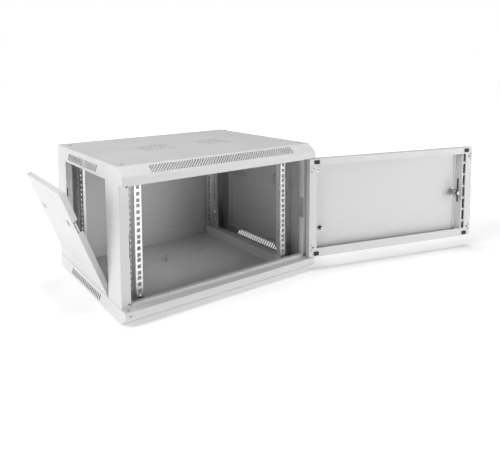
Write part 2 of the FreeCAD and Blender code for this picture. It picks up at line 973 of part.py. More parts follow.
def lock_cam():
    w = cam_arm / 2
    points = [
        (lock_x - w, door_middle - cam_short),
        (lock_x + w, door_middle - cam_short),
        (lock_x + w, door_middle + cam_long),
        (lock_x - w, door_middle + cam_long),
    ]
    bar = prism(points, [2, 2, 2, 2], "XZ", cam_start, cam_sheet)
    eye = rod(cam_eye, vec(lock_x, cam_start, door_middle), along_y, cam_sheet)
    h = stub_size / 2 + 0.02
    square = box(lock_x - h, lock_x + h, cam_start - 1, cam_end + 1, door_middle - h, door_middle + h)
    return fuse([bar, eye]).cut(square)


def cam_screw():
    washer = rod(5.0, vec(lock_x, cam_end, door_middle), along_y, 1)
    head = hexagon(6, vec(lock_x, cam_end + 1, door_middle), along_y, 2.5)
    shank = rod(cam_screw_radius, vec(lock_x, cam_end - 8, door_middle), along_y, 8)
    return fuse([washer, head, shank])


def door_stud():
    skin = front + body_sheet
    foot = rod(6.0, vec(door_stud_x, skin, door_stud_z), along_y, 1.5)
    shank = rod(screw_radius, vec(door_stud_x, skin, door_stud_z), along_y, 13)
    return fuse([foot, shank])


def door_stud_nut():
    spot = vec(door_stud_x, front + body_sheet + 1.5, door_stud_z)
    nut = hexagon(10, spot, along_y, 5)
    return nut.cut(rod(screw_radius + running_fit, spot - along_y * 2, along_y, 9))


# The left panel is drawn shut and leaned out at the end; the right one stays shut
def leaned(shape):
    shape.rotate(vec(-panel_axis_x, 0, panel_axis_z), along_y, -panel_tilt)
    return shape


def skin_openings():
    tools = []
    y0 = panel_front + finger_start
    high = finger_tall / 2
    points = [
        (y0, latch_level - high),
        (y0 + finger_length, latch_level - high),
        (y0 + finger_length, latch_level + high),
        (y0, latch_level + high),
    ]
    tools.append(prism(points, [3, 3, 3, 3], "YZ", -half - 1, 3))
    for step in (18.0, 26.0):
        y = panel_front + step
        tools.append(box(-half - 1, -half + 2, y - 0.8, y + 0.8, latch_level - 10, latch_level + 10))
    tall = latch_notch / 2
    tools.append(box(
        -half + panel_bend, -half + panel_flange + 1, panel_front - 1, panel_front + 2 * panel_sheet,
        latch_level - tall, latch_level + tall,
    ))
    return tools


def side_panel_left():
    outside = box(-half, -half + panel_flange, panel_front, panel_rear, panel_low, panel_high)
    rim = [edge for edge in outside.Edges if edge.BoundBox.XMax < -half + 0.01]
    outside = outside.makeFillet(panel_bend, rim)
    t = panel_sheet
    hollow = box(
        -half + t, -half + panel_flange + 1, panel_front + t, panel_rear - t, panel_low + t, panel_high - t
    )
    panel = outside.cut(hollow)
    tongues = []
    for spot in tongue_spots:
        y = opening_middle + spot
        x = -half + tongue_inset
        w = tongue_width / 2
        tongues.append(box(x, x + t, y - w, y + w, panel_low - tongue_drop, panel_low + t))
    tools = skin_openings()
    tools += [mirror_y(tool, opening_middle) for tool in skin_openings()]
    for y in (panel_front + 12, panel_rear - 12):
        x = -half + panel_flange / 2
        tools.append(rod(2.0, vec(x, y, panel_high - 3), along_z, 6))
        tools.append(rod(2.0, vec(x, y, panel_low - 3), along_z, 6))
    return cut(fuse([panel] + tongues), tools)


guide_front = panel_front + 4.0
guide_back = panel_front + 74.0


# A channel on the inside of the panel that the latch slides in
def latch_guide():
    t = guide_wall
    gap = 0.4
    low = latch_level - latch_tall / 2 - gap
    high = latch_level + latch_tall / 2 + gap
    deep = latch_x + latch_sheet + gap
    skin = -half + panel_sheet
    body = box(skin, deep + t, guide_front, guide_back, low - t, high + t)
    channel = box(skin - 1, deep, guide_front - 1, guide_back - t, low, high)
    feet = box(skin, skin + t, guide_front + 4, guide_back - 4, low - 9, high + 9)
    feet = feet.cut(box(skin - 1, skin + t + 1, guide_front, guide_back, low, high))
    return fuse([body.cut(channel), feet])


def latch_slider():
    low = latch_level - latch_tall / 2
    high = latch_level + latch_tall / 2
    tip = post_end - post_sheet - latch_tip
    end = panel_front + latch_back
    plate = box(latch_x, latch_x + latch_sheet, tip, end, low, high)
    nose = [edge for edge in plate.Edges if edge.BoundBox.YMax < tip + 0.01 and edge.BoundBox.XMax < latch_x + 0.01]
    plate = plate.makeChamfer(2.0, nose)
    y = panel_front + finger_start + 1
    tall = finger_tall / 2 - 1.5
    pad = box(-half + 0.4, latch_x, y, y + pad_length, latch_level - tall, latch_level + tall)
    ridge = [edge for edge in pad.Edges if edge.BoundBox.XMax < -half + 0.41]
    return fuse([plate, pad.makeFillet(0.8, ridge)])


def latch_spring():
    start = vec(latch_x + latch_sheet / 2, panel_front + latch_back, latch_level)
    room = guide_back - guide_wall - panel_front - latch_back
    return coil(1.3, 0.3, start, along_y, room, 8)


def both_ends(shape):
    return [shape, mirror_y(shape, opening_middle)]


space = inside_space()
left_front_post = front_post_left(space)
left_rear_post = rear_post_left(space)
left_beam = lower_beam_left()
left_rail = front_rail_left()
left_skin = side_panel_left()
guides = both_ends(latch_guide())
sliders = both_ends(latch_slider())
springs = both_ends(latch_spring())

save("roof_cap", roof_cap())
save("floor_tray", floor_tray())
save("front_post_left", left_front_post)
save("front_post_right", mirror_x(left_front_post))
save("rear_post_left", left_rear_post)
save("rear_post_right", mirror_x(left_rear_post))
save("front_sill", front_sill())
save("front_header", mirror_z(front_sill(), (tray_height + cap_edge) / 2))
save("back_panel", back_panel())
save("back_screws", back_screws())
save("lower_beam_left", left_beam)
save("lower_beam_right", mirror_x(left_beam))
save("upper_beam_left", mirror_z(left_beam, height / 2))
save("upper_beam_right", mirror_x(mirror_z(left_beam, height / 2)))
save("front_rail_left", left_rail)
save("front_rail_right", mirror_x(left_rail))
save("rear_rail_left", mirror_y(left_rail, rail_middle))
save("rear_rail_right", mirror_x(mirror_y(left_rail, rail_middle)))
save("rail_brackets", rail_brackets())
save("rail_bolts", rail_bolts())
save("roof_screws", roof_screws())
save("tray_screws", tray_screws())
save("cable_plate", cable_plate())
save("cable_plate_screws", cable_screws())
save("ground_stud", ground_stud())
save("ground_nut", ground_nut())
save("hinge_bushes", hinge_bushes())

save("door_pan", opened(door_pan()))
save("lock_stile", opened(lock_stile()))
save("door_bumpers", opened(door_bumpers()))
save("upper_hinge_bracket", opened(hinge_bracket(seat_level, seat_level - 18.5)))
save("lower_hinge_bracket", opened(hinge_bracket(guide_level, guide_level)))
save("lower_hinge_pin", opened(lower_hinge_pin()))
save("upper_hinge_pin", opened(upper_hinge_pin()))
save("pin_spring", opened(pin_spring()))
save("lock_barrel", opened(lock_barrel()))
save("lock_nut", opened(lock_nut()))
save("lock_plug", opened(lock_plug()))
save("lock_cam", opened(lock_cam()))
save("cam_screw", opened(cam_screw()))
save("door_stud", opened(door_stud()))
save("door_stud_nut", opened(door_stud_nut()))

save("left_panel", leaned(left_skin.copy()))
save("left_front_guide", leaned(guides[0].copy()))
save("left_rear_guide", leaned(guides[1].copy()))
save("left_front_latch", leaned(sliders[0].copy()))
save("left_rear_latch", leaned(sliders[1].copy()))
save("left_front_spring", leaned(springs[0].copy()))
save("left_rear_spring", leaned(springs[1].copy()))
save("right_panel", mirror_x(left_skin))
save("right_front_guide", mirror_x(guides[0]))
save("right_rear_guide", mirror_x(guides[1]))
save("right_front_latch", mirror_x(sliders[0]))
save("right_rear_latch", mirror_x(sliders[1]))
save("right_front_spring", mirror_x(springs[0]))
save("right_rear_spring", mirror_x(springs[1]))
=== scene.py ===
# %% [markdown]
# A low wall cabinet for rack equipment, folded from light grey powder-coated sheet steel.
# The exact shapes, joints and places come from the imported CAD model, so this script loads it as a fixed
# frame and then gives it its finishes and the small details that are seen close up.
# Everything is in metres: +X is to the right, -Y comes out of the front and +Z is up.

# %% Load the cabinet
import json
import math
import bpy
from mathutils import Matrix, Vector

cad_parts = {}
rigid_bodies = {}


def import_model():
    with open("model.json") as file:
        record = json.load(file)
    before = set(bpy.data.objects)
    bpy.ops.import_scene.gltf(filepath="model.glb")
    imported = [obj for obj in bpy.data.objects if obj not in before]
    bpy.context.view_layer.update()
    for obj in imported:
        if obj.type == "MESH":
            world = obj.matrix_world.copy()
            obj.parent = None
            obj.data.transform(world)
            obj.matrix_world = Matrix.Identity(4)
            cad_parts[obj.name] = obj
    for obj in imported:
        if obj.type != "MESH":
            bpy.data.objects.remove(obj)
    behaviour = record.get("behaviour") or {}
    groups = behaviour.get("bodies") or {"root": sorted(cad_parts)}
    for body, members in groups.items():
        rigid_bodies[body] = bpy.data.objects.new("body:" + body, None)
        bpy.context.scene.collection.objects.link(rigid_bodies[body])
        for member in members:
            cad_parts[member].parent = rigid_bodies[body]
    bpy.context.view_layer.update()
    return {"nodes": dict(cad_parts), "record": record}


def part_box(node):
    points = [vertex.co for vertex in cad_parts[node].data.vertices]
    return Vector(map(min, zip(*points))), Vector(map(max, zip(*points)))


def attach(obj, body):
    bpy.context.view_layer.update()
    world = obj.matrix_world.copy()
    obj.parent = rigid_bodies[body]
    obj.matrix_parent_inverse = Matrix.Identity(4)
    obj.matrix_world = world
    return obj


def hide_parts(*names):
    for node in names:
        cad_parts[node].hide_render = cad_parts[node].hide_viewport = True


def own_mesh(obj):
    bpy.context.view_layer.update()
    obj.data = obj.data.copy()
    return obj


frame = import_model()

scene = bpy.context.scene
nodes = frame["nodes"]

# %% [markdown]
# The camera. The photograph was taken from the front left, a little above the roof, with the cabinet
# away from the middle of the lens. A camera can be placed by eye, but corners of the cabinet measured in
# the picture give its place exactly: three angles, a distance, and a lens shift for the framing.

# %% Camera
image_width = 500
image_height = 450
focal_pixels = 492.3
lens_axis_pixel = (190, 115)
camera_azimuth = math.radians(-32.56)
camera_elevation = math.radians(5.15)
camera_roll = math.radians(-0.74)
camera_offset = (0.0148, 0.2677, 1.4385)
aim_point = Vector((0, 0, 0.184))


def camera_axes():
    flat = math.cos(camera_elevation)
    back = Vector((
        math.sin(camera_azimuth) * flat,
        -math.cos(camera_azimuth) * flat,
        math.sin(camera_elevation),
    ))
    right = Vector((math.cos(camera_azimuth), math.sin(camera_azimuth), 0))
    roll = Matrix.Rotation(camera_roll, 3, back)
    return roll @ right, roll @ back.cross(right), back


right, up, back = camera_axes()
lens = bpy.data.cameras.new("photo camera")
lens.sensor_width = 36
lens.lens = focal_pixels * lens.sensor_width / image_width
lens.shift_x = (image_width / 2 - lens_axis_pixel[0]) / image_width
lens.shift_y = (lens_axis_pixel[1] - image_height / 2) / image_width
camera = bpy.data.objects.new("photo camera", lens)
scene.collection.objects.link(camera)
spot = aim_point + right * camera_offset[0] + up * camera_offset[1] + back * camera_offset[2]
camera.matrix_world = Matrix.Translation(spot) @ Matrix((right, up, back)).transposed().to_4x4()
scene.camera = camera
print("lens", round(lens.lens, 2), "mm at", [round(c, 3) for c in spot])

# %% [markdown]
# The floor. The cabinet stands on a white paper sweep. A curved backdrop could be modelled, but one flat
# sheet is enough: it glows faintly all over, which fills the shadows from below, and cameras alone see the
# glow rise with the distance from the cabinet, so that no horizon line shows.


# %% White sweep
def add(tree, kind, **settings):
    node = tree.nodes.new(kind)
    for key, value in settings.items():
        setattr(node, key, value)
    return node


def sweep_paper(near, far, glow):
    paper = bpy.data.materials.new("pale sweep")
    paper.use_nodes = True
    tree = paper.node_tree
    shader = tree.nodes["Principled BSDF"]
    shader.inputs["Base Color"].default_value = (0.86, 0.86, 0.86, 1)
    shader.inputs["Roughness"].default_value = 0.9
    shader.inputs["Specular IOR Level"].default_value = 0.1
    shader.inputs["Emission Color"].default_value = (1, 1, 1, 1)
    place = add(tree, "ShaderNodeTexCoord")
    distance = add(tree, "ShaderNodeVectorMath", operation="LENGTH")
    fade = add(tree, "ShaderNodeMapRange")
    fade.inputs["From Min"].default_value = near
    fade.inputs["From Max"].default_value = far
    fade.inputs["To Min"].default_value = glow
    path = add(tree, "ShaderNodeLightPath")
    choose = add(tree, "ShaderNodeMix")
    choose.inputs["A"].default_value = glow
    tree.links.new(place.outputs["Object"], distance.inputs[0])
    tree.links.new(distance.outputs["Value"], fade.inputs["Value"])
    tree.links.new(path.outputs["Is Camera Ray"], choose.inputs["Factor"])
    tree.links.new(fade.outputs["Result"], choose.inputs["B"])
    tree.links.new(choose.outputs["Result"], shader.inputs["Emission Strength"])
    return paper


def white_sweep(reach, paper):
    corners = [(-reach, -reach, 0), (reach, -reach, 0), (reach, reach, 0), (-reach, reach, 0)]
    mesh = bpy.data.meshes.new("floor")
    mesh.from_pydata(corners, [], [(0, 1, 2, 3)])
    mesh.materials.append(paper)
    floor = bpy.data.objects.new("floor", mesh)
    scene.collection.objects.link(floor)
    return floor


sweep = white_sweep(reach=30, paper=sweep_paper(near=1.2, far=3.2, glow=0.23))
print("floor:", [round(side, 1) for side in sweep.dimensions])

# %% [markdown]
# The light. A sky picture would do, but a few large lamps are easier to steer: two from the left light the
# side, two low ones from the front right light the open door and the front without reaching far inside,
# and one hangs above the roof. The white room behind is seen by cameras and lights nothing.

# %% Lamps and room
lamp_size = 2
lamp_target = Vector((0.1, 0, 0.2))


def soft_light(name, place, watts):
    lamp = bpy.data.lights.new(name, "AREA")
    lamp.shape = "SQUARE"
    lamp.size = lamp_size
    lamp.energy = watts
    light = bpy.data.objects.new(name, lamp)
    light.location = place
    light.rotation_euler = (lamp_target - Vector(place)).to_track_quat("-Z", "Y").to_euler()
    scene.collection.objects.link(light)


def white_room():
    world = bpy.data.worlds.new("white room")
    world.use_nodes = True
    tree = world.node_tree
    glow = tree.nodes["Background"]
    glow.inputs["Color"].default_value = (1, 1, 1, 1)
    path = add(tree, "ShaderNodeLightPath")
    tree.links.new(path.outputs["Is Camera Ray"], glow.inputs["Strength"])
    scene.world = world


scene.view_settings.view_transform = "Standard"
scene.view_settings.look = "None"
white_room()
soft_light("left window", place=(-3.2, -0.3, 2.8), watts=78)
soft_light("left rear window", place=(-3.6, 1.9, 0.9), watts=93)
soft_light("front window", place=(1.6, -3.9, 0.5), watts=80)
soft_light("right window", place=(3.2, -3.0, 0.8), watts=56)
soft_light("ceiling panel", place=(0.2, 0.0, 4.0), watts=109)

# %% [markdown]
# Effects that several finishes share are shader node groups, so each is built once. A group only puts out
# values and masks; the shader itself stays in each material. The first group is a fine grain: paint, zinc
# and plastic are never quite smooth, and a small noise over a broader one gives their orange peel.


# %% Fine grain
def start_group(name, inputs, outputs):
    tree = bpy.data.node_groups.new(name, "ShaderNodeTree")
    for socket, kind, value in inputs:
        made = tree.interface.new_socket(socket, in_out="INPUT", socket_type=kind)
        if value is not None:
            made.default_value = value
    for socket, kind in outputs:
        tree.interface.new_socket(socket, in_out="OUTPUT", socket_type=kind)
    return tree, add(tree, "NodeGroupInput"), add(tree, "NodeGroupOutput")


def math_node(tree, operation, first, second):
    node = add(tree, "ShaderNodeMath", operation=operation)
    for socket, value in zip(node.inputs, (first, second)):
        if isinstance(value, (int, float)):
            socket.default_value = value
        else:
            tree.links.new(value, socket)
    return node.outputs[0]


def noise(tree, vector, size, detail, roughness=0.5):
    node = add(tree, "ShaderNodeTexNoise")
    node.inputs["Detail"].default_value = detail
    node.inputs["Roughness"].default_value = roughness
    tree.links.new(vector, node.inputs["Vector"])
    tree.links.new(math_node(tree, "DIVIDE", 1, size), node.inputs["Scale"])
    return node.outputs["Fac"]


def grain_group():
    tree, take, give = start_group(
        "fine grain",
        [
            ("Vector", "NodeSocketVector", None),
            ("Grain", "NodeSocketFloat", 0.0008),
            ("Peel", "NodeSocketFloat", 0.004),
            ("Peel Share", "NodeSocketFloat", 0.5),
        ],
        [("Height", "NodeSocketFloat"), ("Fleck", "NodeSocketFloat")],
    )
    fine = noise(tree, take.outputs["Vector"], take.outputs["Grain"], detail=2)
    broad = noise(tree, take.outputs["Vector"], take.outputs["Peel"], detail=1)
    mix = add(tree, "ShaderNodeMix")
    tree.links.new(take.outputs["Peel Share"], mix.inputs["Factor"])
    tree.links.new(fine, mix.inputs["A"])
    tree.links.new(broad, mix.inputs["B"])
    tree.links.new(mix.outputs["Result"], give.inputs["Height"])
    tree.links.new(fine, give.inputs["Fleck"])
    return tree


fine_grain = grain_group()
print("nodes in the grain group:", len(fine_grain.nodes))

# %% [markdown]
# The second group is for gloss. Handling and dust leave soft patches a hand wide where a surface is a little
# duller, so a slow cloud swings the roughness between a low and a high value.

# %% Soft patches
cloud_low = 0.3
cloud_high = 0.7


def patch_group():
    tree, take, give = start_group(
        "soft patches",
        [
            ("Vector", "NodeSocketVector", None),
            ("Size", "NodeSocketFloat", 0.12),
            ("Low", "NodeSocketFloat", 0.4),
            ("High", "NodeSocketFloat", 0.5),
        ],
        [("Value", "NodeSocketFloat")],
    )
    cloud = noise(tree, take.outputs["Vector"], take.outputs["Size"], detail=4, roughness=0.6)
    spread = add(tree, "ShaderNodeMapRange")
    spread.inputs["From Min"].default_value = cloud_low
    spread.inputs["From Max"].default_value = cloud_high
    tree.links.new(cloud, spread.inputs["Value"])
    tree.links.new(take.outputs["Low"], spread.inputs["To Min"])
    tree.links.new(take.outputs["High"], spread.inputs["To Max"])
    tree.links.new(spread.outputs["Result"], give.inputs["Value"])
    return tree


soft_patches = patch_group()
print("nodes in the patch group:", len(soft_patches.nodes))

# %% [markdown]
# The third group finds edges and makes them paler, partly as wear and thin paint from hands and tools and
# partly as a painted highlight along every rim. Wear could be painted by hand, but comparing the true normal
# with one that is rounded off near edges gives a mask along every edge at once, and a noise breaks it up.

# %% Rubbed edges and painted rim highlight
edge_starts = 0.995
edge_full = 0.86


def wear_and_highlight_group():
    tree, take, give = start_group(
        "rubbed edges",
        [
            ("Vector", "NodeSocketVector", None),
            ("Reach", "NodeSocketFloat", 0.0012),
            ("Break Up", "NodeSocketFloat", 0.02),
        ],
        [("Mask", "NodeSocketFloat")],
    )
    rounded = add(tree, "ShaderNodeBevel", samples=4)
    tree.links.new(take.outputs["Reach"], rounded.inputs["Radius"])
    facing = add(tree, "ShaderNodeNewGeometry")
    compare = add(tree, "ShaderNodeVectorMath", operation="DOT_PRODUCT")
    tree.links.new(rounded.outputs["Normal"], compare.inputs[0])
    tree.links.new(facing.outputs["Normal"], compare.inputs[1])
    edge = add(tree, "ShaderNodeMapRange")
    edge.inputs["From Min"].default_value = edge_starts
    edge.inputs["From Max"].default_value = edge_full
    tree.links.new(compare.outputs["Value"], edge.inputs["Value"])
    patchy = noise(tree, take.outputs["Vector"], take.outputs["Break Up"], detail=3, roughness=0.65)
    # This mask pales each edge: partly wear and thin paint, partly a painted highlight.
    kept = math_node(tree, "MULTIPLY", edge.outputs["Result"], patchy)
    tree.links.new(kept, give.inputs["Mask"])
    return tree


rubbed_and_highlit_edges = wear_and_highlight_group()
print("nodes in the wear group:", len(rubbed_and_highlit_edges.nodes))

# %% [markdown]
# The finishes differ only in their values, so one recipe covers them all: a colour that flecks between dark
# and light, a paler tone on edges for wear and as a painted edge highlight, a roughness that drifts, and the
# grain as a very shallow bump.


# %% Finish recipe
def use_group(tree, group, vector, **values):
    node = add(tree, "ShaderNodeGroup", node_tree=group)
    tree.links.new(vector, node.inputs["Vector"])
    for key, value in values.items():
        node.inputs[key.replace("_", " ").title()].default_value = value
    return node


def blend_colours(tree, mask, first, second):
    mix = add(tree, "ShaderNodeMix", data_type="RGBA")
    tree.links.new(mask, mix.inputs["Factor"])
    for socket, value in ((mix.inputs[6], first), (mix.inputs[7], second)):
        if isinstance(value, tuple):
            socket.default_value = (*value, 1)
        else:
            tree.links.new(value, socket)
    return mix.outputs[2]


def finish(name, dark, light, rubbed_and_highlit, roughness, metallic, grain, peel, depth, stretch=(1, 1, 1), wear_and_highlight=0.35):
    material = bpy.data.materials.new(name)
    material.use_nodes = True
    tree = material.node_tree
    shader = tree.nodes["Principled BSDF"]
    shader.inputs["Metallic"].default_value = metallic
    place = add(tree, "ShaderNodeTexCoord")
    turn = add(tree, "ShaderNodeMapping")
    turn.inputs["Scale"].default_value = stretch
    tree.links.new(place.outputs["Object"], turn.inputs["Vector"])
    texture = use_group(tree, fine_grain, turn.outputs["Vector"], grain=grain, peel=peel)
    patches = use_group(tree, soft_patches, place.outputs["Object"], low=roughness[0], high=roughness[1])
    edges = use_group(tree, rubbed_and_highlit_edges, place.outputs["Object"])
    tone = blend_colours(tree, texture.outputs["Fleck"], dark, light)
    # Edges take a paler tone, partly from wear and partly as a painted highlight.
    worn_and_highlit = math_node(tree, "MULTIPLY", edges.outputs["Mask"], wear_and_highlight)
    colour = blend_colours(tree, worn_and_highlit, tone, rubbed_and_highlit)
    tree.links.new(colour, shader.inputs["Base Color"])
    tree.links.new(patches.outputs["Value"], shader.inputs["Roughness"])
    bump = add(tree, "ShaderNodeBump")
    bump.inputs["Strength"].default_value = 0.35
    bump.inputs["Distance"].default_value = depth
    tree.links.new(texture.outputs["Height"], bump.inputs["Height"])
    tree.links.new(bump.outputs["Normal"], shader.inputs["Normal"])
    return material


# %% [markdown]
# Every metal sheet here has the same light grey powder coat: a dry, very fine orange peel with a dull gloss.
# The rails and fasteners are zinc plated, the rails with a grain drawn out along their length. The latches
# and hinge bushes are grey nylon, the bumpers rubber, and the lock is chromed with a black cam.

# %% Finishes
# The rubbed tone of each finish is its paler edge colour: partly wear, partly a painted edge highlight.
grey_coat = finish(
    "light grey powder coat", dark=(0.53, 0.535, 0.53), light=(0.63, 0.635, 0.63), rubbed_and_highlit=(0.74, 0.74, 0.73),
    roughness=(0.42, 0.55), metallic=0.0, grain=0.0007, peel=0.0035, depth=0.00012,
)
rail_zinc = finish(
    "satin rail zinc", dark=(0.72, 0.73, 0.74), light=(0.84, 0.85, 0.86), rubbed_and_highlit=(0.9, 0.9, 0.9),
    roughness=(0.34, 0.48), metallic=0.75, grain=0.0006, peel=0.006, depth=0.00004, stretch=(1, 1, 0.08),
)
bolt_zinc = finish(
    "bright bolt zinc", dark=(0.52, 0.53, 0.54), light=(0.68, 0.69, 0.70), rubbed_and_highlit=(0.8, 0.8, 0.8),
    roughness=(0.28, 0.42), metallic=0.9, grain=0.0004, peel=0.003, depth=0.00003,
)
grey_nylon = finish(
    "moulded grey nylon", dark=(0.46, 0.465, 0.46), light=(0.55, 0.555, 0.55), rubbed_and_highlit=(0.66, 0.66, 0.65),
    roughness=(0.45, 0.58), metallic=0.0, grain=0.0005, peel=0.002, depth=0.00006,
)
black_rubber = finish(
    "black bumper rubber", dark=(0.012, 0.012, 0.012), light=(0.022, 0.022, 0.022), rubbed_and_highlit=(0.04, 0.04, 0.04),
    roughness=(0.7, 0.85), metallic=0.0, grain=0.0006, peel=0.003, depth=0.00008,
)
lock_chrome = finish(
    "lock chrome", dark=(0.34, 0.345, 0.35), light=(0.44, 0.445, 0.45), rubbed_and_highlit=(0.66, 0.66, 0.66),
    roughness=(0.16, 0.28), metallic=1.0, grain=0.0008, peel=0.005, depth=0.00001,
)
cam_black = finish(
    "black passivated steel", dark=(0.008, 0.008, 0.009), light=(0.016, 0.016, 0.017), rubbed_and_highlit=(0.06, 0.06, 0.06),
    roughness=(0.5, 0.64), metallic=0.3, grain=0.0005, peel=0.003, depth=0.00004,
)
coats = {
    "grey_paint": grey_coat,
    "rail_zinc": rail_zinc,
    "zinc_steel": bolt_zinc,
    "grey_plastic": grey_nylon,
    "black_rubber": black_rubber,
    "chrome": lock_chrome,
    "black_steel": cam_black,
}
for row in frame["record"]["subparts"]:
    mesh = nodes[row["node"]].data
    mesh.materials.clear()
    mesh.materials.append(coats[row["material_slot"]])

# %% [markdown]
# Small things that repeat, such as screws, are made by Geometry Nodes: a tree builds one from its sizes and
# sets it on points. These helpers start a tree with named sizes, feed its nodes, and make the plain shapes.


# %% Tree helpers
def geometry_tree(name, sizes):
    tree = bpy.data.node_groups.new(name, "GeometryNodeTree")
    tree.interface.new_socket("Points", in_out="INPUT", socket_type="NodeSocketGeometry")
    for size, value in sizes.items():
        socket = tree.interface.new_socket(size, in_out="INPUT", socket_type="NodeSocketFloat")
        socket.default_value = value
    tree.interface.new_socket("Seed", in_out="INPUT", socket_type="NodeSocketInt")
    tree.interface.new_socket("Finish", in_out="INPUT", socket_type="NodeSocketMaterial")
    tree.interface.new_socket("Mesh", in_out="OUTPUT", socket_type="NodeSocketGeometry")
    return tree, add(tree, "NodeGroupInput"), add(tree, "NodeGroupOutput")


def feed_socket(tree, socket, value):
    if isinstance(value, bpy.types.NodeSocket):
        tree.links.new(value, socket)
    else:
        socket.default_value = value


def feed(tree, node, **values):
    for key, value in values.items():
        feed_socket(tree, node.inputs[key.replace("_", " ")], value)
    return node


def combine(tree, x, y, z):
    node = add(tree, "ShaderNodeCombineXYZ")
    for socket, value in zip(node.inputs, (x, y, z)):
        feed_socket(tree, socket, value)
    return node.outputs[0]


def shifted(tree, shape, z):
    move = add(tree, "GeometryNodeTransform")
    tree.links.new(shape, move.inputs["Geometry"])
    tree.links.new(combine(tree, 0.0, 0.0, z), move.inputs["Translation"])
    return move.outputs["Geometry"]


def disc(tree, sides, radius, depth, z):
    node = feed(tree, add(tree, "GeometryNodeMeshCylinder"), Vertices=sides, Radius=radius, Depth=depth)
    return shifted(tree, node.outputs["Mesh"], z)


def boolean(tree, operation, shapes):
    node = add(tree, "GeometryNodeMeshBoolean", operation=operation)
    if operation == "DIFFERENCE":
        tree.links.new(shapes[0], node.inputs["Mesh 1"])
        shapes = shapes[1:]
    for shape in shapes:
        tree.links.new(shape, node.inputs["Mesh 2"])
    return node.outputs["Mesh"]


# %% [markdown]
# Each point carries the direction its screw looks in, and a fixed seed turns every recess a little
# differently. The copies are then made real and given their finish, because the export drops instances.


# %% Set on points
def dress(tree, take, give, copies):
    real = add(tree, "GeometryNodeRealizeInstances")
    tree.links.new(copies.outputs["Instances"], real.inputs["Geometry"])
    paint = add(tree, "GeometryNodeSetMaterial")
    tree.links.new(real.outputs["Geometry"], paint.inputs["Geometry"])
    tree.links.new(take.outputs["Finish"], paint.inputs["Material"])
    tree.links.new(paint.outputs["Geometry"], give.inputs["Mesh"])


def set_on_points(tree, take, give, shape):
    aim = add(tree, "GeometryNodeInputNamedAttribute", data_type="FLOAT_VECTOR")
    aim.inputs["Name"].default_value = "aim"
    look = add(tree, "FunctionNodeAlignRotationToVector", axis="Z")
    tree.links.new(aim.outputs["Attribute"], look.inputs["Vector"])
    chance = add(tree, "FunctionNodeRandomValue", data_type="FLOAT")
    chance.inputs[3].default_value = math.tau
    tree.links.new(take.outputs["Seed"], chance.inputs["Seed"])
    spin = add(tree, "FunctionNodeRotateRotation", rotation_space="LOCAL")
    tree.links.new(look.outputs["Rotation"], spin.inputs["Rotation"])
    euler = add(tree, "FunctionNodeEulerToRotation")
    tree.links.new(combine(tree, 0.0, 0.0, chance.outputs[1]), euler.inputs["Euler"])
    tree.links.new(euler.outputs["Rotation"], spin.inputs["Rotate By"])
    copies = add(tree, "GeometryNodeInstanceOnPoints")
    tree.links.new(take.outputs["Points"], copies.inputs["Points"])
    tree.links.new(shape, copies.inputs["Instance"])
    tree.links.new(spin.outputs["Rotation"], copies.inputs["Rotation"])
    dress(tree, take, give, copies)


# %% [markdown]
# Screws. The cabinet is held together by pan-head screws with washers and a cross recess, in four sizes.
# A drum cut by a large ball gives the domed head, two crossed bars are cut out of it for the recess, and
# washer and shank are plain discs.

# %% Screw tree
dome_share = 2.1
recess_length_share = 1.15
recess_width_share = 0.27
washer_sink = 0.6


def screw_tree():
    tree, take, give = geometry_tree("pan head screws", {
        "Head Radius": 0.005, "Head Height": 0.0022, "Washer Radius": 0.0064, "Washer Height": 0.0008,
        "Shank Radius": 0.003, "Shank Length": 0.008,
    })
    head, tall = take.outputs["Head Radius"], take.outputs["Head Height"]
    base = take.outputs["Washer Height"]
    foot = math_node(tree, "MULTIPLY", base, washer_sink)
    top = math_node(tree, "ADD", foot, tall)
    middle = math_node(tree, "ADD", foot, math_node(tree, "MULTIPLY", tall, 0.5))
    drum = disc(tree, 28, head, tall, middle)
    crown = math_node(tree, "MULTIPLY", head, dome_share)
    ball = feed(tree, add(tree, "GeometryNodeMeshUVSphere"), Segments=40, Rings=28, Radius=crown)
    dome = shifted(tree, ball.outputs["Mesh"], math_node(tree, "SUBTRACT", top, crown))
    pan = boolean(tree, "INTERSECT", [drum, dome])
    long = math_node(tree, "MULTIPLY", head, recess_length_share)
    slim = math_node(tree, "MULTIPLY", head, recess_width_share)
    bars = []
    for x, y in ((long, slim), (slim, long)):
        bar = add(tree, "GeometryNodeMeshCube")
        tree.links.new(combine(tree, x, y, tall), bar.inputs["Size"])
        bars.append(shifted(tree, bar.outputs["Mesh"], top))
    cross = boolean(tree, "UNION", bars)
    driven = boolean(tree, "DIFFERENCE", [pan, cross])
    washer_middle = math_node(tree, "MULTIPLY", base, 0.5)
    washer = disc(tree, 28, take.outputs["Washer Radius"], base, washer_middle)
    deep = take.outputs["Shank Length"]
    shank = disc(tree, 16, take.outputs["Shank Radius"], deep, math_node(tree, "MULTIPLY", deep, -0.5))
    join = add(tree, "GeometryNodeJoinGeometry")
    for shape in (shank, washer, driven):
        tree.links.new(shape, join.inputs["Geometry"])
    set_on_points(tree, take, give, join.outputs["Geometry"])
    return tree


pan_head_screws = screw_tree()
print("nodes in the screw tree:", len(pan_head_screws.nodes))

# %% [markdown]
# A modifier runs the tree on a mesh of points. Its inputs are set by their identifiers before the first
# evaluation, then the result is taken as a plain mesh and the modifier goes, so that the exported piece is
# an ordinary mesh. Each piece then rides on a body, takes a finish and may stand for a plain CAD piece.


# %% Run a tree on points
def point_cloud(name, rows):
    mesh = bpy.data.meshes.new(name)
    mesh.from_pydata([place for place, aim in rows], [], [])
    aims = mesh.attributes.new("aim", "FLOAT_VECTOR", "POINT")
    for datum, (place, aim) in zip(aims.data, rows):
        datum.vector = aim
    return mesh


